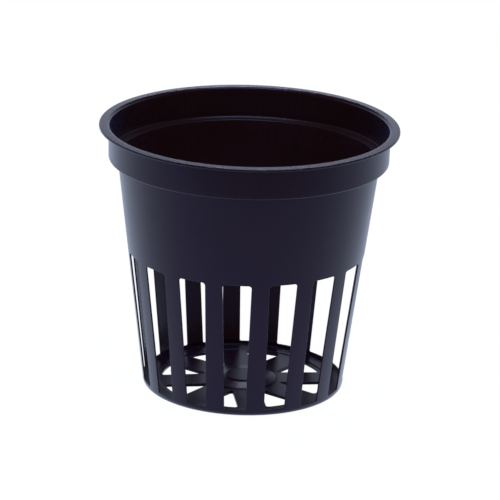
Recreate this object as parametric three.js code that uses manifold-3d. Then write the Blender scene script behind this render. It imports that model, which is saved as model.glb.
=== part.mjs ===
// Net pot for growing seedlings: a tapered plastic pot with a flanged rim, a stepped collar,
// a plain wall, a slotted cage of staves below it and a spoked floor.
// Millimetres, +Z up. The origin is on the axis, on the ground that the pot stands on.
// The pot is moulded in one go. It is divided here on level planes, where its section changes,
// so that neighbouring pieces meet face to face and share every outline.

import * as THREE from 'three';
import { mergeVertices } from 'three/addons/utils/BufferGeometryUtils.js';
import Module from 'manifold-3d';

// Driving dimensions: the whole pot
const HEIGHT = 72.5;
const WALL = 0.45;

// Rim: the flange that carries the pot when it hangs in a hole
const FLANGE_WIDTH = 2.5;
const FLANGE_THICKNESS = 0.8;
const FLANGE_EDGE = 0.25;
const RIM_MOUTH_EDGE = 0.9;
const RIM_ROOT = 1.2;

// Collar: the wide band under the flange, which drops into the hole
const COLLAR_DIAMETER = 75;
const COLLAR_DRAFT = 1;

// Ledge: the step from the collar in to the wall
const STEP_DROP = 9.1;
const STEP_WIDTH = 2.4;
const STEP_EDGE = 0.6;
const LEDGE_SLOPE = 0.15;
const LEDGE_EDGE = 0.5;
const LEDGE_ROOT = 0.8;

// Wall: the plain band between the step and the slots, on a cone down to the base
const WALL_BAND = 25.3;
const BASE_DIAMETER = 53.9;

// Slots and the staves left between them
const SLOT_COUNT = 16;
const SLOT_CORNER = 0.8;
const SILL_CORNER = 0.35;
const SLOT_SILL = 1.9;
const STAVE_TOP_WIDTH = 4.75;
const STAVE_FOOT_WIDTH = 5;

// Base: a floor with a raised border, spokes that thicken inward, and a hub with a boss on it
const FLOOR = 0.75;
const FLOOR_CROWN = 0.2;
const FLOOR_BORDER = 4.95;
const BORDER_RISE = 0.2;
const BORDER_LIP = 0.7;
const BASE_EDGE = 1.2;
const BASE_INNER_EDGE = 0.35;
const SPOKE_COUNT = 8;
const SPOKE_WIDTH = 7.6;
const OPENING_CORNER = 0.8;
const OPENING_TIP = 0.5;
const HUB_DIAMETER = 18.6;
const HUB_RISE = 0.3;
const HUB_CROWN = 0.4;
const HUB_DRAFT = 0.15;
const HUB_WALL = 0.9;
const HUB_HOLLOW = 0.6;
const BOSS_DIAMETER = 9.8;
const BOSS_RISE = 0.45;

// Plastic: near-black with a trace of blue, satin
const PLASTIC_COLOUR = 0x24242e;
const PLASTIC_ROUGHNESS = 0.45;

// Smoothness of round stretches
const STEPS_PER_SLOT = 5;
const RING_STEPS = STEPS_PER_SLOT * SLOT_COUNT;
const EDGE_STEPS = 2;
const CORNER_STEPS = 3;
const BORDER_STEPS = 5;

// Levels, from the ground up
const stepLevel = HEIGHT - STEP_DROP;
const flangeLevel = HEIGHT - FLANGE_THICKNESS;
const rimFoot = flangeLevel - RIM_ROOT;
const ledgeTop = stepLevel + WALL + LEDGE_SLOPE + LEDGE_ROOT;
const ledgeFoot = stepLevel - LEDGE_ROOT;
const slotTop = stepLevel - WALL_BAND;
const staveTop = slotTop - SLOT_CORNER;
const staveFoot = SLOT_SILL + SILL_CORNER;
const borderTop = FLOOR + BORDER_RISE;
const hubFoot = FLOOR + FLOOR_CROWN;
const hubEdge = hubFoot + HUB_RISE;
const bossFoot = hubEdge + HUB_CROWN;
const bossTop = bossFoot + BOSS_RISE;

// Radii of the collar and the wall at a height
const baseRadius = BASE_DIAMETER / 2;
const draft = Math.tan(THREE.MathUtils.degToRad(COLLAR_DRAFT));
const collarOutside = (z) => COLLAR_DIAMETER / 2 - (flangeLevel - z) * draft;
const collarInside = (z) => collarOutside(z) - WALL;
const wallTaper = (collarOutside(stepLevel) - STEP_WIDTH - baseRadius) / stepLevel;
const wallOutside = (z) => baseRadius + wallTaper * z;
const wallInside = (z) => wallOutside(z) - WALL;
const rimRadius = COLLAR_DIAMETER / 2 + FLANGE_WIDTH;
const borderRadius = baseRadius - FLOOR_BORDER;
const lipRadius = borderRadius + BORDER_LIP;

const wasm = await Module();
wasm.setup();

// Outline through corners [x, y] or [x, y, radius]: a corner with a radius becomes an arc of steps.
function roundedOutline(corners, steps) {
  const points = [];
  corners.forEach(([x, y, radius], i) => {
    const corner = new THREE.Vector2(x, y);
    if (!radius) {
      points.push(corner);
      return;
    }
    const before = corners[(i + corners.length - 1) % corners.length];
    const after = corners[(i + 1) % corners.length];
    const back = new THREE.Vector2(before[0] - x, before[1] - y).normalize();
    const ahead = new THREE.Vector2(after[0] - x, after[1] - y).normalize();
    const half = Math.acos(THREE.MathUtils.clamp(back.dot(ahead), -1, 1)) / 2;
    const inward = back.clone().add(ahead).normalize();
    const centre = corner.clone().addScaledVector(inward, radius / Math.sin(half));
    const start = corner.clone().addScaledVector(back, radius / Math.tan(half)).sub(centre);
    const sweep = (Math.PI - 2 * half) * Math.sign(ahead.cross(back));
    for (let step = 0; step <= steps; step += 1) {
      const turn = (sweep * step) / steps;
      points.push(start.clone().rotateAround(new THREE.Vector2(), turn).add(centre));
    }
  });
  return points;
}

// Round body from a closed outline of [radius, height] corners, turned about the Z axis.
function turned(corners) {
  const points = roundedOutline(corners, EDGE_STEPS);
  points.push(points[0].clone());
  return new THREE.LatheGeometry(points, RING_STEPS).rotateX(Math.PI / 2);
}

// Prism over a flat outline, standing on the ground plane.
function prism(corners, height) {
  const shape = new THREE.Shape(roundedOutline(corners, CORNER_STEPS));
  return new THREE.ExtrudeGeometry(shape, { depth: height, bevelEnabled: false });
}

// Closed solid from a geometry, for joining and cutting.
function solid(geometry) {
  const bare = geometry.clone();
  bare.deleteAttribute('normal');
  bare.deleteAttribute('uv');
  const merged = mergeVertices(bare);
  const corners = Array.from(merged.index.array);
  const triangles = [];
  for (let i = 0; i < corners.length; i += 3) {
    const [a, b, c] = corners.slice(i, i + 3);
    if (a !== b && b !== c && c !== a) {
      triangles.push(a, b, c);
    }
  }
  return new wasm.Manifold(new wasm.Mesh({
    numProp: 3,
    vertProperties: new Float32Array(merged.attributes.position.array),
    triVerts: new Uint32Array(triangles),
  }));
}

// Geometry of a solid after its cuts.
function geometryOf(body) {
  const mesh = body.getMesh();
  const geometry = new THREE.BufferGeometry();
  geometry.setAttribute('position', new THREE.BufferAttribute(mesh.vertProperties, 3));
  geometry.setIndex(new THREE.BufferAttribute(mesh.triVerts, 1));
  geometry.computeVertexNormals();
  return geometry;
}

// Level slice of space between two heights, wider than the pot.
function slab(low, high) {
  const width = 2 * COLLAR_DIAMETER;
  const box = new THREE.BoxGeometry(width, width, high - low);
  return solid(box.translate(0, 0, (low + high) / 2));
}

// Copies of a cutter, evenly spaced about the Z axis from a first angle.
function cutAround(body, cutter, count, first) {
  let cut = body;
  for (let i = 0; i < count; i += 1) {
    const angle = first + (i * 2 * Math.PI) / count;
    cut = cut.subtract(solid(cutter.clone().rotateZ(angle)));
  }
  return cut;
}

// Rim: a flat flange rounded on its edges, with the head of the collar under it
function rimGeometry() {
  return turned([
    [collarInside(rimFoot), rimFoot],
    [collarOutside(rimFoot), rimFoot],
    [collarOutside(flangeLevel), flangeLevel],
    [rimRadius, flangeLevel, FLANGE_EDGE],
    [rimRadius, HEIGHT, FLANGE_EDGE],
    [collarInside(HEIGHT), HEIGHT, RIM_MOUTH_EDGE],
  ]);
}

// Collar: a plain drafted band
function collarGeometry() {
  return turned([
    [collarInside(ledgeTop), ledgeTop],
    [collarOutside(ledgeTop), ledgeTop],
    [collarOutside(rimFoot), rimFoot],
    [collarInside(rimFoot), rimFoot],
  ]);
}

// Ledge: flat underneath, where the pot can rest on a shelf, and sloped on top to shed water
function ledgeGeometry() {
  const shelf = stepLevel + WALL;
  return turned([
    [wallInside(ledgeFoot), ledgeFoot],
    [wallOutside(ledgeFoot), ledgeFoot],
    [wallOutside(stepLevel), stepLevel],
    [collarOutside(stepLevel), stepLevel, STEP_EDGE],
    [collarOutside(ledgeTop), ledgeTop],
    [collarInside(ledgeTop), ledgeTop],
    [collarInside(shelf + LEDGE_SLOPE), shelf + LEDGE_SLOPE],
    [wallInside(shelf), shelf, LEDGE_EDGE],
  ]);
}

// Cup below the ledge, before its slots: the wall, the floor and the hub in one turned body
function cupSolid() {
  const hubRadius = HUB_DIAMETER / 2;
  const bossRadius = BOSS_DIAMETER / 2;
  const hollowRadius = hubRadius - HUB_WALL;
  return solid(turned([
    [0, HUB_HOLLOW],
    [hollowRadius - HUB_DRAFT, HUB_HOLLOW],
    [hollowRadius, 0],
    [wallOutside(0), 0, BASE_EDGE],
    [wallOutside(ledgeFoot), ledgeFoot],
    [wallInside(ledgeFoot), ledgeFoot],
    [wallInside(borderTop), borderTop, BASE_INNER_EDGE],
    [lipRadius + BORDER_RISE, borderTop],
    [lipRadius, FLOOR],
    [hubRadius, hubFoot],
    [hubRadius - HUB_DRAFT, hubEdge],
    [bossRadius, bossFoot],
    [bossRadius - HUB_DRAFT, bossTop],
    [0, bossTop],
  ]));
}

// Slot cutter on the -Y side: a tapered window with rounded corners, from the floor's border out.
// Its sides leave a stave of the set width between neighbours.
function slotCutter() {
  const halfPitch = Math.PI / SLOT_COUNT;
  const halfSlot = (z, stave) => wallOutside(z) * Math.sin(halfPitch) - (stave / 2) * Math.cos(halfPitch);
  const head = halfSlot(slotTop, STAVE_TOP_WIDTH);
  const sill = halfSlot(SLOT_SILL, STAVE_FOOT_WIDTH);
  const window = prism([
    [-sill, SLOT_SILL, SILL_CORNER],
    [sill, SLOT_SILL, SILL_CORNER],
    [head, slotTop, SLOT_CORNER],
    [-head, slotTop, SLOT_CORNER],
  ], rimRadius);
  return window.rotateX(Math.PI / 2).translate(0, -borderRadius, 0);
}

// Floor opening on the -Y side: a fan between two spokes, closed by the floor's border.
function openingCutter() {
  const halfPitch = Math.PI / SPOKE_COUNT;
  const halfSpoke = SPOKE_WIDTH / 2;
  const edgeAngle = halfPitch - Math.asin(halfSpoke / borderRadius);
  const tip = halfSpoke / Math.sin(halfPitch);
  const corners = [[0, -tip, OPENING_TIP]];
  for (let step = 0; step <= BORDER_STEPS; step += 1) {
    const angle = edgeAngle * ((2 * step) / BORDER_STEPS - 1);
    const atEnd = step === 0 || step === BORDER_STEPS;
    corners.push([
      borderRadius * Math.sin(angle),
      -borderRadius * Math.cos(angle),
      atEnd ? OPENING_CORNER : 0,
    ]);
  }
  return prism(corners, HEIGHT).translate(0, 0, -HEIGHT / 2);
}

const halfSlotPitch = Math.PI / SLOT_COUNT;
const halfSpokePitch = Math.PI / SPOKE_COUNT;
const cage = cutAround(cupSolid(), slotCutter(), SLOT_COUNT, halfSlotPitch);

// Wall band: from the ledge down to where the sides of the slots run straight
const bandGeometry = geometryOf(cage.intersect(slab(staveTop, ledgeFoot)));

// Stave on the -Y side: the strip of wall between two slots
const staveWidth = 2 * baseRadius * Math.sin(halfSlotPitch);
const staveSide = new THREE.BoxGeometry(staveWidth, 2 * rimRadius, 2 * HEIGHT);
const staveSector = solid(staveSide.translate(0, -rimRadius, 0));
const staveGeometry = geometryOf(cage.intersect(slab(staveFoot, staveTop)).intersect(staveSector));

// Base: the foot of the wall with the feet of the staves, and the floor with its openings
const foot = cage.intersect(slab(-HEIGHT, staveFoot));
const baseGeometry = geometryOf(cutAround(foot, openingCutter(), SPOKE_COUNT, halfSpokePitch));

const pot = new THREE.Group();

// Adds one named piece of the moulding to the pot, turned about the Z axis.
function addPiece(name, geometry, angle = 0) {
  const plastic = new THREE.MeshStandardMaterial({
    color: PLASTIC_COLOUR,
    roughness: PLASTIC_ROUGHNESS,
    metalness: 0,
  });
  const piece = new THREE.Mesh(geometry, plastic);
  piece.name = name;
  piece.rotation.z = angle;
  pot.add(piece);
}

addPiece('rim', rimGeometry());
addPiece('collar', collarGeometry());
addPiece('ledge', ledgeGeometry());
addPiece('wall_band', bandGeometry);
for (let i = 0; i < SLOT_COUNT; i += 1) {
  addPiece(`stave_${String(i + 1).padStart(2, '0')}`, staveGeometry, 2 * halfSlotPitch * i);
}
addPiece('base', baseGeometry);

export default pot;
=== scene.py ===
import math

import bpy
from mathutils import Matrix, Vector


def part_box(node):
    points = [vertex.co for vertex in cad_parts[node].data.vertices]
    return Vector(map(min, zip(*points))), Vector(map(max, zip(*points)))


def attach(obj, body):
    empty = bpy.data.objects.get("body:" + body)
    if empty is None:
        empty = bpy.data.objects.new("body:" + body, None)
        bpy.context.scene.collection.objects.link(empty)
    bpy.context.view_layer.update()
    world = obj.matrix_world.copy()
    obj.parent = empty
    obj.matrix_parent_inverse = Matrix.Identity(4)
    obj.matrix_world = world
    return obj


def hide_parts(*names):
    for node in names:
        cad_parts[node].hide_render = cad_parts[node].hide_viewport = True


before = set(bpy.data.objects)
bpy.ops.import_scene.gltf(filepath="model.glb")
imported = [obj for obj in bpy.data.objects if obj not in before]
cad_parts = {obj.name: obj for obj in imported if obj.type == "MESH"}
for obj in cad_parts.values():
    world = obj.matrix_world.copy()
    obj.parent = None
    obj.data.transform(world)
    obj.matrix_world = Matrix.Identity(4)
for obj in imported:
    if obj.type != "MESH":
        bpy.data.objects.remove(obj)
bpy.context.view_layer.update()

# Rim
# The flange that carries the pot when it hangs in a hole, falling a little to its edge, with the
# head of the collar under it. Black polypropylene, moulded in one with the pot, with soft edges.
mm = 0.001
same_place = 0.002 * mm
ring_steps = 384
section_steps = 4
smooth_angle = math.radians(40)
wall = 0.45 * mm
flange_thickness = 0.8 * mm
flange_edge = 0.25 * mm
flange_fall = 0.15 * mm
flange_root = 0.25 * mm
mouth_edge = 0.9 * mm

rim_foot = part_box("rim")[0].z
rim_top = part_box("rim")[1].z
rim_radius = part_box("rim")[1].x
flange_level = rim_top - flange_thickness
collar_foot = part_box("collar")[0].z
collar_head_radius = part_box("collar")[1].x
collar_foot_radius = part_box("ledge")[1].x


def collar_radius(height):
    """Outside of the collar, which widens a little towards the flange."""
    slope = (collar_head_radius - collar_foot_radius) / (rim_foot - collar_foot)
    return collar_foot_radius + slope * (height - collar_foot)


def pick(piece, parts, test):
    """Go into edit mode with the edges, or the faces, of a piece that pass a test selected."""
    bpy.ops.object.select_all(action="DESELECT")
    piece.select_set(True)
    bpy.context.view_layer.objects.active = piece
    bpy.ops.object.mode_set(mode="EDIT")
    bpy.ops.mesh.select_mode(type=parts)
    bpy.ops.mesh.select_all(action="DESELECT")
    bpy.ops.object.mode_set(mode="OBJECT")
    mesh = piece.data
    if parts == "EDGE":
        for edge in mesh.edges:
            edge.select = test(*(mesh.vertices[end].co for end in edge.vertices))
    else:
        for face in mesh.polygons:
            face.select = test(face.center, face.normal)
    bpy.ops.object.mode_set(mode="EDIT")


def near(value, place):
    """True where a length is the same as a place, to a hair's breadth."""
    return abs(value - place) < same_place


def round_off(piece, test, radius, steps):
    """Round the edges of a piece that pass a test."""
    pick(piece, "EDGE", test)
    bpy.ops.mesh.bevel(offset=radius, segments=steps, affect="EDGES")
    bpy.ops.object.mode_set(mode="OBJECT")


def extrude_rings(corners):
    """Extrude the picked ring along a section of corners: (radius, height, rounding)."""
    radius, height, _ = corners[0]
    for next_radius, next_height, _ in corners[1:]:
        bpy.ops.mesh.extrude_edges_indiv()
        bpy.ops.transform.translate(value=(0, 0, next_height - height))
        growth = next_radius / radius
        bpy.ops.transform.resize(value=(growth, growth, 1), center_override=(0, 0, 0))
        radius, height = next_radius, next_height


def round_corners(piece, corners):
    """Round the rings of edges at the corners of a section that have a rounding."""
    for radius, height, rounding in corners:
        if rounding:
            def on_corner(a, b):
                return all(near(p.z, height) and near(p.xy.length, radius) for p in (a, b))
            round_off(piece, on_corner, rounding, section_steps)


def pick_open_rings():
    """Pick the open edges of the piece in edit mode."""
    bpy.ops.mesh.select_mode(type="EDGE")
    bpy.ops.mesh.select_all(action="DESELECT")
    bpy.ops.mesh.select_non_manifold(
        use_wire=False, use_multi_face=False, use_non_contiguous=False, use_verts=False
    )


def turned(name, corners):
    """Model a round piece from its section: a ring extruded, closed on itself and rounded."""
    radius, height, _ = corners[0]
    bpy.ops.object.select_all(action="DESELECT")
    bpy.ops.mesh.primitive_circle_add(
        vertices=ring_steps, radius=radius, location=(0, 0, height)
    )
    piece = bpy.context.object
    piece.name = piece.data.name = name
    bpy.ops.object.transform_apply()
    bpy.ops.object.mode_set(mode="EDIT")
    bpy.ops.mesh.select_mode(type="EDGE")
    bpy.ops.mesh.select_all(action="SELECT")
    extrude_rings(corners)
    pick_open_rings()
    bpy.ops.mesh.bridge_edge_loops()
    bpy.ops.mesh.select_all(action="SELECT")
    bpy.ops.mesh.normals_make_consistent(inside=False)
    bpy.ops.object.mode_set(mode="OBJECT")
    round_corners(piece, corners)
    return piece


def smooth(piece):
    """Shade a piece smooth over its roundings, with its flat and drafted faces kept true."""
    bpy.ops.object.select_all(action="DESELECT")
    piece.select_set(True)
    bpy.context.view_layer.objects.active = piece
    bpy.ops.object.shade_smooth_by_angle(angle=smooth_angle)
    bpy.ops.object.modifier_add(type="WEIGHTED_NORMAL")
    piece.modifiers[-1].keep_sharp = True
    bpy.ops.object.modifier_apply(modifier=piece.modifiers[-1].name)


def noise(tree, place, per_mm, detail, stretch=(1, 1, 1)):
    """Add a noise with so many grains in a millimetre, which can be drawn out along an axis."""
    drawn = tree.nodes.new("ShaderNodeMapping")
    drawn.inputs["Scale"].default_value = [along * per_mm / mm for along in stretch]
    tree.links.new(place, drawn.inputs["Vector"])
    texture = tree.nodes.new("ShaderNodeTexNoise")
    texture.inputs["Scale"].default_value = 1
    texture.inputs["Detail"].default_value = detail
    tree.links.new(drawn.outputs[0], texture.inputs["Vector"])
    return texture.outputs["Fac"]


def ramp(tree, value, low, high, to_low, to_high):
    """Add a node that carries a value from one range over to another, and holds it there."""
    carry = tree.nodes.new("ShaderNodeMapRange")
    for socket, number in zip(carry.inputs[1:5], (low, high, to_low, to_high)):
        socket.default_value = number
    tree.links.new(value, carry.inputs["Value"])
    return carry.outputs[0]


def reckon(tree, operation, first, second):
    """Add a sum, a product or the like of two values."""
    reckoning = tree.nodes.new("ShaderNodeMath")
    reckoning.operation = operation
    tree.links.new(first, reckoning.inputs[0])
    tree.links.new(second, reckoning.inputs[1])
    return reckoning.outputs[0]


def blend(tree, factor, first, second):
    """Add a mix of two colours."""
    mix = tree.nodes.new("ShaderNodeMix")
    mix.data_type = "RGBA"
    for socket, value in zip(("Factor", "A", "B"), (factor, first, second)):
        tree.links.new(value, mix.inputs[socket])
    return mix.outputs["Result"]


moulded = bpy.data.node_groups.new("moulded_finish", "ShaderNodeTree")
for name, kind in (
    ("Tone", "NodeSocketColor"), ("Bloom", "NodeSocketColor"), ("Dust", "NodeSocketColor"),
    ("Roughness", "NodeSocketFloat"),
):
    moulded.interface.new_socket(name, in_out="INPUT", socket_type=kind)
for name, kind in (
    ("Color", "NodeSocketColor"), ("Roughness", "NodeSocketFloat"), ("Height", "NodeSocketFloat")
):
    moulded.interface.new_socket(name, in_out="OUTPUT", socket_type=kind)
given = moulded.nodes.new("NodeGroupInput").outputs
result = moulded.nodes.new("NodeGroupOutput").inputs
place = moulded.nodes.new("ShaderNodeTexCoord").outputs["Object"]
clouds = noise(moulded, place, 0.06, 3)
draw_marks = noise(moulded, place, 0.8, 2, stretch=(1, 1, 0.04))
grain = noise(moulded, place, 3.2, 2)
specks = noise(moulded, place, 1.1, 1)
noise_band = (0.3, 0.7)
speck_band = (0.78, 0.86)
uneven = reckon(
    moulded, "ADD",
    ramp(moulded, clouds, *noise_band, -0.02, 0.02),
    ramp(moulded, draw_marks, *noise_band, -0.006, 0.006),
)
greyed = reckon(
    moulded, "ADD",
    ramp(moulded, clouds, *noise_band, 0, 0.6), ramp(moulded, grain, *noise_band, 0, 0.4),
)
tone = blend(moulded, greyed, given["Tone"], given["Bloom"])
dusty = blend(moulded, ramp(moulded, specks, *speck_band, 0, 1), tone, given["Dust"])
moulded.links.new(dusty, result["Color"])
moulded.links.new(reckon(moulded, "ADD", given["Roughness"], uneven), result["Roughness"])
moulded.links.new(grain, result["Height"])


def plastic(name, tone, roughness, specular):
    """Make a black plastic with the moulded finish, dull or bright."""
    material = bpy.data.materials.new(name)
    material.use_nodes = True
    tree = material.node_tree
    surface = tree.nodes["Principled BSDF"]
    surface.inputs["Specular IOR Level"].default_value = specular
    surface.inputs["Specular Tint"].default_value = (0.205, 0.26, 0.51, 1)
    surface.inputs["Sheen Weight"].default_value = 0.05
    surface.inputs["Sheen Roughness"].default_value = 0.35
    surface.inputs["Sheen Tint"].default_value = (0.1, 0.22, 1, 1)
    finish = tree.nodes.new("ShaderNodeGroup")
    finish.node_tree = moulded
    finish.inputs["Tone"].default_value = (*tone, 1)
    finish.inputs["Bloom"].default_value = (*(1.35 * part for part in tone), 1)
    finish.inputs["Dust"].default_value = (0.028, 0.027, 0.032, 1)
    finish.inputs["Roughness"].default_value = roughness
    tree.links.new(finish.outputs["Color"], surface.inputs["Base Color"])
    tree.links.new(finish.outputs["Roughness"], surface.inputs["Roughness"])
    bump = tree.nodes.new("ShaderNodeBump")
    bump.inputs["Strength"].default_value = 0.2
    bump.inputs["Distance"].default_value = 0.02 * mm
    tree.links.new(finish.outputs["Height"], bump.inputs["Height"])
    tree.links.new(bump.outputs[0], surface.inputs["Normal"])
    return material


black = plastic("black_polypropylene", (0.0140, 0.0043, 0.0052), 0.27, 0.5)

rim = turned("pot_rim", [
    (collar_radius(rim_foot) - wall, rim_foot, 0),
    (collar_radius(rim_foot), rim_foot, 0),
    (collar_radius(flange_level), flange_level, flange_root),
    (rim_radius, flange_level, flange_edge),
    (rim_radius, rim_top - flange_fall, flange_edge),
    (collar_radius(rim_top) - wall, rim_top, mouth_edge),
])
smooth(rim)
rim.data.materials.append(black)
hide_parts("rim")
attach(rim, "root")

# Collar
# The drafted band under the flange, which drops into the hole. Black polypropylene, in one with
# the rim above it and the ledge below it.
collar = turned("pot_collar", [
    (collar_radius(collar_foot) - wall, collar_foot, 0),
    (collar_radius(collar_foot), collar_foot, 0),
    (collar_radius(rim_foot), rim_foot, 0),
    (collar_radius(rim_foot) - wall, rim_foot, 0),
])
smooth(collar)
collar.data.materials.append(black)
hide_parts("collar")
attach(collar, "root")

# Ledge
# The step from the collar in to the wall, flat underneath and sloped a little on top. Black
# polypropylene, in one with its neighbours; its corners are rounded so that it leaves the mould.
ledge_root = 0.8 * mm
ledge_slope = 0.15 * mm
ledge_edge = 0.2 * mm
ledge_corner = 0.5 * mm
step_edge = 0.35 * mm
step_root = 0.25 * mm

ledge_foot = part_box("ledge")[0].z
step_level = ledge_foot + ledge_root
shelf_level = step_level + wall
wall_head_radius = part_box("wall_band")[1].x
base_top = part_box("base")[1].z
base_top_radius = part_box("base")[1].x


def wall_radius(height):
    """Outside of the wall, a cone from the base up to the ledge."""
    taper = (wall_head_radius - base_top_radius) / (ledge_foot - base_top)
    return base_top_radius + taper * (height - base_top)


ledge = turned("pot_ledge", [
    (wall_radius(ledge_foot) - wall, ledge_foot, 0),
    (wall_radius(ledge_foot), ledge_foot, 0),
    (wall_radius(step_level), step_level, step_root),
    (collar_radius(step_level), step_level, step_edge),
    (collar_radius(collar_foot), collar_foot, 0),
    (collar_radius(collar_foot) - wall, collar_foot, 0),
    (collar_radius(shelf_level) - wall, shelf_level + ledge_slope, ledge_corner),
    (wall_radius(shelf_level) - wall, shelf_level, ledge_edge),
])
smooth(ledge)
ledge.data.materials.append(black)
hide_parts("ledge")
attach(ledge, "root")

# Slotted wall
# The sheet of the wall, black polypropylene, with slots that are shut off in the mould. One stave
# with half a slot on each side is drawn flat; the band, staves and foot are cut from it and rolled.
slot_count = 16
slot_corner = 0.8 * mm
sill_corner = 0.35 * mm
slot_edge = 0.15 * mm
slot_corner_steps = 6
slot_edge_steps = 3
stave_head_width = 4.75 * mm
stave_foot_width = 5.0 * mm
foot_level = 1.6 * mm
hair = 0.0001 * mm
weld_gap = 0.003 * mm

stave_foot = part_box("stave_01")[0].z
stave_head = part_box("stave_01")[1].z
slot_sill = stave_foot - sill_corner
slot_head = stave_head + slot_corner
flat_radius = wall_radius((slot_head + slot_sill) / 2)
pitch = 2 * math.pi * flat_radius / slot_count


def flat_slot(height, stave_width):
    """Width of a slot in the flat drawing, where the stave beside it has a given true width."""
    stave_angle = 2 * math.asin(stave_width / 2 / wall_radius(height))
    return pitch - stave_angle * flat_radius


def flat_box(name, width, depth, low, high, middle):
    """Add a block of the flat drawing between two heights."""
    bpy.ops.object.select_all(action="DESELECT")
    bpy.ops.mesh.primitive_cube_add(
        size=1, location=(middle, wall / 2, (low + high) / 2), scale=(width, depth, high - low)
    )
    block = bpy.context.object
    block.name = block.data.name = name
    bpy.ops.object.transform_apply()
    return block


def cut_away(piece, cutter):
    """Cut the shape of one piece out of another, and take the cutter away."""
    bpy.ops.object.select_all(action="DESELECT")
    bpy.context.view_layer.objects.active = piece
    piece.select_set(True)
    bpy.ops.object.modifier_add(type="BOOLEAN")
    piece.modifiers[-1].object = cutter
    bpy.ops.object.modifier_apply(modifier=piece.modifiers[-1].name)
    bpy.data.objects.remove(cutter)


strip = flat_box("strip", pitch, wall, foot_level, ledge_foot, 0)

sill_width = flat_slot(slot_sill, stave_foot_width)
head_width = flat_slot(slot_head, stave_head_width)
slot = flat_box("slot", sill_width, 3 * wall, slot_sill, slot_head, pitch / 2)
pick(slot, "FACE", lambda centre, normal: normal.z > 0.9)
bpy.ops.transform.resize(
    value=(head_width / sill_width, 1, 1), center_override=(pitch / 2, 0, 0)
)
bpy.ops.object.mode_set(mode="OBJECT")
for level, corner in ((slot_head, slot_corner), (slot_sill, sill_corner)):
    round_off(
        slot, lambda a, b: near(a.z, level) and not near(a.y, b.y), corner, slot_corner_steps
    )
bpy.ops.object.duplicate()
bpy.ops.transform.translate(value=(-pitch, 0, 0))
slot.select_set(True)
bpy.context.view_layer.objects.active = slot
bpy.ops.object.join()
cut_away(strip, slot)


def on_slot_edge(a, b):
    """True for the edges of the slots on the inside and outside of the strip."""
    on_face = near(a.y, b.y)
    at_side = near(abs(a.x), pitch / 2) and near(abs(b.x), pitch / 2)
    at_end = near(a.z, b.z) and (near(a.z, foot_level) or near(a.z, ledge_foot))
    return on_face and not at_side and not at_end


round_off(strip, on_slot_edge, slot_edge, slot_edge_steps)

pick(strip, "FACE", lambda centre, normal: True)
columns = ring_steps // slot_count
for column in range(1, columns):
    bpy.ops.mesh.select_all(action="SELECT")
    bpy.ops.mesh.bisect(
        plane_co=((column / columns - 0.5) * pitch, 0, 0), plane_no=(1, 0, 0), threshold=hair
    )
bpy.ops.object.mode_set(mode="OBJECT")


def cut_from_strip(name, low, high):
    """Cut a length out of the flat strip, between two heights, and close its ends."""
    bpy.ops.object.select_all(action="DESELECT")
    strip.select_set(True)
    bpy.context.view_layer.objects.active = strip
    bpy.ops.object.duplicate()
    piece = bpy.context.object
    piece.name = piece.data.name = name
    for height, side in ((low, -1), (high, 1)):
        if foot_level < height < ledge_foot:
            pick(piece, "FACE", lambda centre, normal: True)
            bpy.ops.mesh.bisect(
                plane_co=(0, 0, height), plane_no=(0, 0, side), clear_outer=True, use_fill=True,
                threshold=hair,
            )
            bpy.ops.object.mode_set(mode="OBJECT")
    return piece


def roll_up(piece):
    """Lay a flat piece on the cone of the wall, with its middle on the -Y side."""
    for vertex in piece.data.vertices:
        across, depth, height = vertex.co
        radius = wall_radius(height) - depth
        angle = across / flat_radius
        vertex.co = (radius * math.sin(angle), -radius * math.cos(angle), height)


def copy_around(piece, count):
    """Copy a shape evenly round the axis, within its own piece, and weld what meets."""
    pick(piece, "FACE", lambda centre, normal: True)
    bpy.ops.mesh.spin(
        steps=count - 1, angle=2 * math.pi * (count - 1) / count, dupli=True,
        center=(0, 0, 0), axis=(0, 0, 1),
    )
    bpy.ops.mesh.select_all(action="SELECT")
    bpy.ops.mesh.remove_doubles(threshold=weld_gap)
    bpy.ops.mesh.normals_make_consistent(inside=False)
    bpy.ops.object.mode_set(mode="OBJECT")


def open_sides(piece):
    """Take the faces off a flat length where it joins its neighbours in the ring."""
    pick(piece, "FACE", lambda centre, normal: near(abs(centre.x), pitch / 2))
    bpy.ops.mesh.delete(type="FACE")
    bpy.ops.object.mode_set(mode="OBJECT")


# Wall band
# The plain wall between the ledge and the slots, ending in the rounded heads of the slots.
# Black polypropylene, in one with the ledge above it and the staves below it.
band = cut_from_strip("pot_wall_band", stave_head, ledge_foot)
open_sides(band)
roll_up(band)
copy_around(band, slot_count)
smooth(band)
band.data.materials.append(black)
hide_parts("wall_band")
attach(band, "root")

# Staves
# The strips of wall between the slots, a little narrower at the head than at the foot. Black
# polypropylene, in one with the band above them and the base below them.
first_stave = cut_from_strip("pot_stave_01", stave_foot, stave_head)
roll_up(first_stave)
staves = [first_stave]
for number in range(2, slot_count + 1):
    stave = first_stave.copy()
    stave.data = first_stave.data.copy()
    stave.name = stave.data.name = f"pot_stave_{number:02d}"
    bpy.context.collection.objects.link(stave)
    stave.data.transform(Matrix.Rotation(2 * math.pi * (number - 1) / slot_count, 4, "Z"))
    staves.append(stave)
for number, stave in enumerate(staves, 1):
    smooth(stave)
    stave.data.materials.append(black)
    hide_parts(f"stave_{number:02d}")
    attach(stave, "root")

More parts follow.
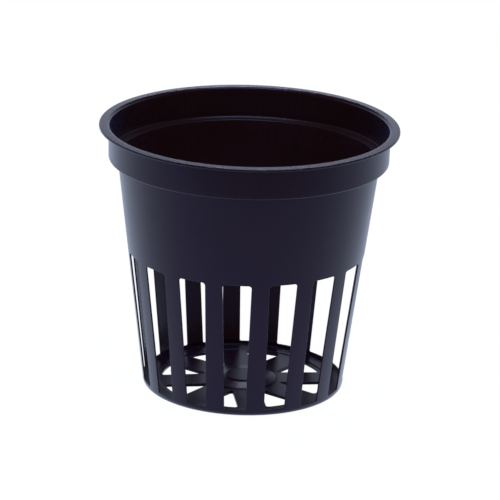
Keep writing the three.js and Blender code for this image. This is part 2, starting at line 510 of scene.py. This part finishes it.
# Base
# The foot of the wall and the floor: a raised border, spokes that thicken inward, openings like
# fans and a hub with a boss. Black polypropylene, in one with the staves that stand on it.
floor = 0.75 * mm
floor_crown = 0.2 * mm
border_radius = 22 * mm
border_lip = 0.7 * mm
border_rise = 0.2 * mm
base_edge = 1.2 * mm
base_inner_edge = 0.35 * mm
spoke_count = 8
spoke_width = 7.6 * mm
opening_corner = 0.8 * mm
opening_tip = 0.5 * mm
opening_edge = 0.12 * mm
opening_corner_steps = 6
opening_edge_steps = 3
sliver = 0.002 * mm
hub_radius = 9.3 * mm
hub_rise = 0.3 * mm
hub_crown = 0.4 * mm
hub_draft = 0.15 * mm
hub_wall = 0.9 * mm
hub_hollow = 0.6 * mm
hub_round = 0.18 * mm
boss_radius = 4.9 * mm
boss_rise = 0.45 * mm
boss_round = 0.3 * mm
step_round = 0.1 * mm

border_top = floor + border_rise
lip_radius = border_radius + border_lip
hub_foot = floor + floor_crown
hub_edge = hub_foot + hub_rise
boss_foot = hub_edge + hub_crown

base = cut_from_strip("pot_base", foot_level, stave_foot)
open_sides(base)
pick(base, "FACE", lambda centre, normal: near(centre.z, foot_level))
bpy.ops.mesh.delete(type="FACE")
bpy.ops.object.mode_set(mode="OBJECT")
roll_up(base)
copy_around(base, slot_count)


def dished(name, corners):
    """Model a round skin from its section: a disc with rings extruded from its edge, rounded."""
    radius, height, _ = corners[0]
    bpy.ops.object.select_all(action="DESELECT")
    bpy.ops.mesh.primitive_circle_add(
        vertices=ring_steps, radius=radius, location=(0, 0, height), fill_type="NGON"
    )
    skin = bpy.context.object
    skin.name = skin.data.name = name
    bpy.ops.object.transform_apply()
    bpy.ops.object.mode_set(mode="EDIT")
    pick_open_rings()
    extrude_rings(corners)
    bpy.ops.object.mode_set(mode="OBJECT")
    round_corners(skin, corners)
    return skin


floor_skin = dished("floor_skin", [
    (boss_radius - hub_draft, boss_foot + boss_rise, boss_round),
    (boss_radius, boss_foot, hub_round),
    (hub_radius - hub_draft, hub_edge, hub_round),
    (hub_radius, hub_foot, hub_round),
    (lip_radius, floor, step_round),
    (lip_radius + border_rise, border_top, step_round),
    (wall_radius(border_top) - wall, border_top, base_inner_edge),
    (wall_radius(foot_level) - wall, foot_level, 0),
])
ground_skin = dished("ground_skin", [
    (hub_radius - hub_wall - hub_draft, hub_hollow, hub_round),
    (hub_radius - hub_wall, 0, hub_round),
    (wall_radius(0), 0, base_edge),
    (wall_radius(foot_level), foot_level, 0),
])
sectors_per_spoke = 6
sector_count = sectors_per_spoke * spoke_count
for skin in (floor_skin, ground_skin):
    for sector in range(sector_count):
        def in_sector(centre, normal):
            turn = math.atan2(centre.x, -centre.y) / (2 * math.pi) % 1 * sector_count
            between = hub_radius < centre.xy.length < lip_radius
            return between and abs(normal.z) > 0.999 and int(turn) == sector
        pick(skin, "FACE", in_sector)
        bpy.ops.mesh.dissolve_faces()
        bpy.ops.object.mode_set(mode="OBJECT")

bpy.ops.object.select_all(action="DESELECT")
for part in (base, floor_skin, ground_skin):
    part.select_set(True)
bpy.context.view_layer.objects.active = base
bpy.ops.object.join()
pick(base, "FACE", lambda centre, normal: True)
bpy.ops.mesh.remove_doubles(threshold=weld_gap)
bpy.ops.mesh.normals_make_consistent(inside=False)
bpy.ops.object.mode_set(mode="OBJECT")

half_spoke_pitch = math.pi / spoke_count
fan_steps = 96
bpy.ops.object.select_all(action="DESELECT")
bpy.ops.mesh.primitive_cylinder_add(
    vertices=fan_steps, radius=border_radius, depth=4 * floor, rotation=(0, 0, math.pi / fan_steps)
)
fan = bpy.context.object
fan.name = fan.data.name = "fan"
bpy.ops.object.transform_apply()
spoke_edges = [
    Vector((side * math.cos(half_spoke_pitch), -math.sin(half_spoke_pitch), 0)) for side in (-1, 1)
]
for inward in spoke_edges:
    pick(fan, "FACE", lambda centre, normal: True)
    bpy.ops.mesh.bisect(
        plane_co=inward * spoke_width / 2, plane_no=inward, clear_inner=True, use_fill=True,
        threshold=hair,
    )
    bpy.ops.object.mode_set(mode="OBJECT")


def upright_on_spokes(a, b, count):
    """True for an upright edge of the fan that lies on the edges of a number of spokes."""
    upright = near(a.x, b.x) and near(a.y, b.y)
    return upright and sum(near(a.dot(inward), spoke_width / 2) for inward in spoke_edges) == count


corner_angle = math.pi / 2 - math.asin(spoke_width / 2 / border_radius)
for edge_count, radius, angle in (
    (2, opening_tip, 2 * half_spoke_pitch), (1, opening_corner, corner_angle)
):
    round_off(
        fan, lambda a, b: upright_on_spokes(a, b, edge_count), radius / math.tan(angle / 2),
        opening_corner_steps,
    )
fan.data.transform(Matrix.Rotation(half_spoke_pitch, 4, "Z"))
copy_around(fan, spoke_count)
cut_away(base, fan)
pick(base, "FACE", lambda centre, normal:
     abs(normal.z) < 0.1 and centre.xy.length < lip_radius)
bpy.ops.mesh.region_to_loop()
bpy.ops.mesh.bevel(offset=opening_edge, segments=opening_edge_steps, affect="EDGES")
bpy.ops.mesh.select_all(action="SELECT")
bpy.ops.mesh.dissolve_degenerate(threshold=sliver)
bpy.ops.object.mode_set(mode="OBJECT")
smooth(base)
# Floor inside the pot: a darker tone and weaker shine than the walls, as painted shade.
floor_black_painted_shade = plastic("black_polypropylene_floor_painted_shade", (0.0065, 0.0018, 0.0060), 0.32, 0.15)
base.data.materials.append(black)
base.data.materials.append(floor_black_painted_shade)
pick(base, "FACE", lambda centre, normal:
     centre.xy.length < wall_radius(centre.z) - wall and centre.z > floor / 2)
base.active_material_index = 1
bpy.ops.object.material_slot_assign()
bpy.ops.object.mode_set(mode="OBJECT")
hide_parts("base")
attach(base, "root")
bpy.data.objects.remove(strip)

# Studio
# A white table with a white sweep behind it, in a room that is dim higher up and on the camera's
# side. A soft light hangs overhead and a small one stands behind; they are aimed at the pot. In
# reflections the table shows a painted pool of light by the pot and painted shade in front.
bpy.ops.object.select_all(action="DESELECT")
bpy.ops.mesh.primitive_plane_add(size=4)
table = bpy.context.object
table.name = "table"
white = bpy.data.materials.new("white_table")
white.use_nodes = True
reflected_white = (0.83, 0.955, 1.20, 1)
camera_white = 1.01
table_glow = 0.97
# Brighter left, dimmer right: room light in the world, painted light in the table's glow.
left_to_right = (1.08, 0.88)


def seen(tree):
    """Add the shares of rays that see the backdrop: from the camera, and in any way at all."""
    path = tree.nodes.new("ShaderNodeLightPath").outputs
    reflected = reckon(tree, "MAXIMUM", path["Is Glossy Ray"], path["Is Transmission Ray"])
    return path["Is Camera Ray"], reckon(tree, "MAXIMUM", path["Is Camera Ray"], reflected)


def backdrop_white(tree, by_camera):
    """Add the white of the backdrop, which has the cool tone of the room in reflections."""
    mix = tree.nodes.new("ShaderNodeMix")
    mix.data_type = "RGBA"
    mix.inputs["A"].default_value = reflected_white
    mix.inputs["B"].default_value = (1, 1, 1, 1)
    tree.links.new(by_camera, mix.inputs["Factor"])
    return mix.outputs["Result"]


tree = white.node_tree
nodes, links = tree.nodes, tree.links
paint = nodes["Principled BSDF"]
paint.inputs["Base Color"].default_value = (0.9, 0.9, 0.9, 1)
paint.inputs["Roughness"].default_value = 0.9
by_camera, seen_at_all = seen(tree)
on_table = nodes.new("ShaderNodeTexCoord").outputs["Object"]
outward = nodes.new("ShaderNodeVectorMath")
outward.operation = "LENGTH"
links.new(on_table, outward.inputs[0])
across = nodes.new("ShaderNodeSeparateXYZ")
links.new(on_table, across.inputs[0])
# Painted light in the table's glow: a pool near the pot, shade towards the camera, dimmer right.
painted_light_on_table = reckon(
    tree, "MULTIPLY",
    ramp(tree, outward.outputs["Value"], 50 * mm, 120 * mm, 1.3, 1),
    ramp(tree, across.outputs["Y"], -280 * mm, -110 * mm, 0.25, 1),
)
painted_light_on_table = reckon(
    tree, "MULTIPLY", painted_light_on_table, ramp(tree, across.outputs["X"], -150 * mm, 150 * mm, *left_to_right)
)
glow = nodes.new("ShaderNodeEmission")
links.new(backdrop_white(tree, by_camera), glow.inputs["Color"])
strength = nodes.new("ShaderNodeMix")
strength.inputs["B"].default_value = camera_white
links.new(by_camera, strength.inputs["Factor"])
links.new(painted_light_on_table, strength.inputs["A"])
links.new(strength.outputs["Result"], glow.inputs["Strength"])
either = nodes.new("ShaderNodeMixShader")
links.new(ramp(tree, seen_at_all, 0, 1, 0, table_glow), either.inputs[0])
links.new(paint.outputs[0], either.inputs[1])
links.new(glow.outputs[0], either.inputs[2])
links.new(either.outputs[0], nodes["Material Output"].inputs["Surface"])
table.data.materials.append(white)

world = bpy.data.worlds.new("studio")
bpy.context.scene.world = world
world.use_nodes = True
tree = world.node_tree
nodes, links = tree.nodes, tree.links
room_light = nodes["Background"]
room_light.inputs["Color"].default_value = (1, 1, 1, 1)
room_light.inputs["Strength"].default_value = 0.35
by_camera, seen_at_all = seen(tree)
upward = nodes.new("ShaderNodeSeparateXYZ")
links.new(nodes.new("ShaderNodeTexCoord").outputs["Generated"], upward.inputs[0])
sweep = reckon(
    tree, "MULTIPLY",
    ramp(tree, upward.outputs["Z"], 0.28, 0.42, 1, 0.05),
    ramp(tree, upward.outputs["Y"], -0.6, 0.2, 0.15, 1),
)
sweep = reckon(
    tree, "MULTIPLY", sweep, ramp(tree, upward.outputs["X"], -0.8, 0.8, *left_to_right)
)
backdrop = nodes.new("ShaderNodeBackground")
links.new(backdrop_white(tree, by_camera), backdrop.inputs["Color"])
links.new(reckon(tree, "MAXIMUM", sweep, by_camera), backdrop.inputs["Strength"])
either = nodes.new("ShaderNodeMixShader")
links.new(seen_at_all, either.inputs[0])
links.new(room_light.outputs[0], either.inputs[1])
links.new(backdrop.outputs[0], either.inputs[2])
links.new(either.outputs[0], nodes["World Output"].inputs["Surface"])

for name, colour, size, power, distance, elevation, azimuth in (
    ("overhead_light", (0.75, 0.86, 1), 0.6, 6.0, 0.92, math.radians(98), 0),
    ("back_light", (0.8, 0.8, 1), 0.15, 2.9, 1.5, math.radians(41), math.radians(9)),
):
    light_data = bpy.data.lights.new(name, "AREA")
    light_data.color = colour
    light_data.size = size
    light_data.energy = power
    light = bpy.data.objects.new(name, light_data)
    bpy.context.collection.objects.link(light)
    light.matrix_world = (
        Matrix.Rotation(math.pi - azimuth, 4, "Z")
        @ Matrix.Rotation(math.pi / 2 - elevation, 4, "X")
        @ Matrix.Translation((0, 0, distance))
    )

camera_distance = 941.7 * mm
camera_elevation = math.radians(18.44)
camera_azimuth = math.radians(-7.49)
camera_roll = math.radians(1.687)
aim_across = 1.025 * mm
aim_height = 37.56 * mm
lens = 252.5
lens_data = bpy.data.cameras.new("camera")
lens_data.lens = lens
lens_data.sensor_width = 36
camera = bpy.data.objects.new("camera", lens_data)
bpy.context.collection.objects.link(camera)
turn = (
    Matrix.Rotation(camera_azimuth, 4, "Z")
    @ Matrix.Rotation(math.pi / 2 - camera_elevation, 4, "X")
    @ Matrix.Rotation(camera_roll, 4, "Z")
)
aim = Matrix.Rotation(camera_azimuth, 4, "Z") @ Vector((aim_across, 0, aim_height))
camera.matrix_world = Matrix.Translation(aim) @ turn @ Matrix.Translation((0, 0, camera_distance))
bpy.context.scene.camera = camera
bpy.context.scene.view_settings.view_transform = "Standard"
